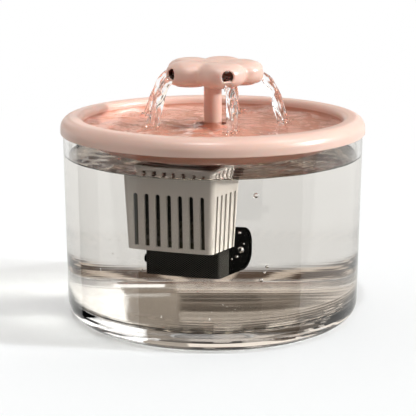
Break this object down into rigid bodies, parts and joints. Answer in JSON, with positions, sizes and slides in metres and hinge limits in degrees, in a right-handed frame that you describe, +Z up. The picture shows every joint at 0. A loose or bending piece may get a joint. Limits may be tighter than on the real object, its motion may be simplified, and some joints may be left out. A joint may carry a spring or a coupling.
{
  "type": "pet water fountain",
  "caption": "Round clear water tank with a basin lid, a flower-shaped outlet on a riser tube, and a submerged pump with a slotted filter box hanging below the lid.",
  "frame": {"origin": "centre of the tank's foot, on the surface it stands on", "axes": "+Z up along the tank's axis, -Y to the front, +X to the right"},
  "size_m": [0.19, 0.19, 0.1606],
  "materials": {
    "clear_plastic": "clear, polished",
    "pink_plastic": "satin pink",
    "pink_silicone": "soft matte",
    "white_silicone": "soft matte",
    "grey_plastic": "satin warm grey",
    "black_plastic": "satin black",
    "black_rubber": "matte",
    "circuit_board": "lacquered",
    "lamination_steel": "stacked sheets",
    "copper_wire": "enamelled winding",
    "ferrite": "ground",
    "white_plastic": "plain",
    "shaft_steel": "ground",
    "sponge_foam": "open foam with a pressed diamond pattern",
    "frame_plastic": "plain, dark olive grey",
    "cotton": "felted",
    "resin_beads": "beads in a non-woven bag",
    "carbon": "granules in a non-woven bag",
    "filter_foam": "open foam"
  },
  "bodies": {
    "tank": {"tank": "clear_plastic"},
    "lid": {"lid_tray": "pink_plastic", "cable_grommet": "pink_silicone", "riser_tube": "pink_plastic"},
    "seal": {"riser_seal": "white_silicone"},
    "head": {"flower_head": "pink_plastic", "flower_base": "pink_plastic"},
    "pump": {"pump_housing": "black_plastic", "back_cover": "black_plastic", "cable_gland": "black_rubber", "driver_board": "circuit_board", "stator_core": "lamination_steel", "stator_coils": "copper_wire", "rotor_shaft": "shaft_steel", "rear_bush": "black_rubber"},
    "rotor": {"rotor_magnet": "ferrite", "impeller": "white_plastic"},
    "intake_cover": {"pump_cover": "black_plastic", "front_bush": "black_rubber"},
    "sponge": {"pump_sponge": "sponge_foam"},
    "filter_box": {"filter_box": "grey_plastic"},
    "cartridge": {"filter_frame": "frame_plastic", "cotton_pad": "cotton", "resin_pack": "resin_beads", "carbon_pack": "carbon", "foam_pad": "filter_foam"}
  },
  "joints": [
    {"name": "lid_lift", "type": "slide", "parent": "tank", "child": "lid", "axis": [0, 0, 1], "range_m": [0, 0.1]},
    {"name": "head_swivel", "type": "hinge", "parent": "lid", "child": "seal", "pos_m": [0, 0, 0.151], "axis": [0, 0, 1], "continuous": true},
    {"name": "head_lift", "type": "slide", "parent": "seal", "child": "head", "axis": [0, 0, 1], "range_m": [0, 0.012]},
    {"name": "pump_pull", "type": "slide", "parent": "lid", "child": "pump", "axis": [0, 0, -1], "range_m": [0, 0.0125]},
    {"name": "impeller_spin", "type": "hinge", "parent": "pump", "child": "rotor", "pos_m": [-0.00673, -0.00332, 0.0475], "axis": [0.9272, -0.3746, 0], "continuous": true},
    {"name": "cover_pull", "type": "slide", "parent": "pump", "child": "intake_cover", "axis": [0.9272, -0.3746, 0], "range_m": [0, 0.012]},
    {"name": "sponge_pull", "type": "slide", "parent": "pump", "child": "sponge", "axis": [-0.3746, -0.9272, 0], "range_m": [0, 0.012]},
    {"name": "box_pull", "type": "slide", "parent": "lid", "child": "filter_box", "axis": [-0.3746, -0.9272, 0], "range_m": [0, 0.024]},
    {"name": "cartridge_lift", "type": "slide", "parent": "filter_box", "child": "cartridge", "axis": [0, 0, 1], "range_m": [0, 0.005]}
  ]
}
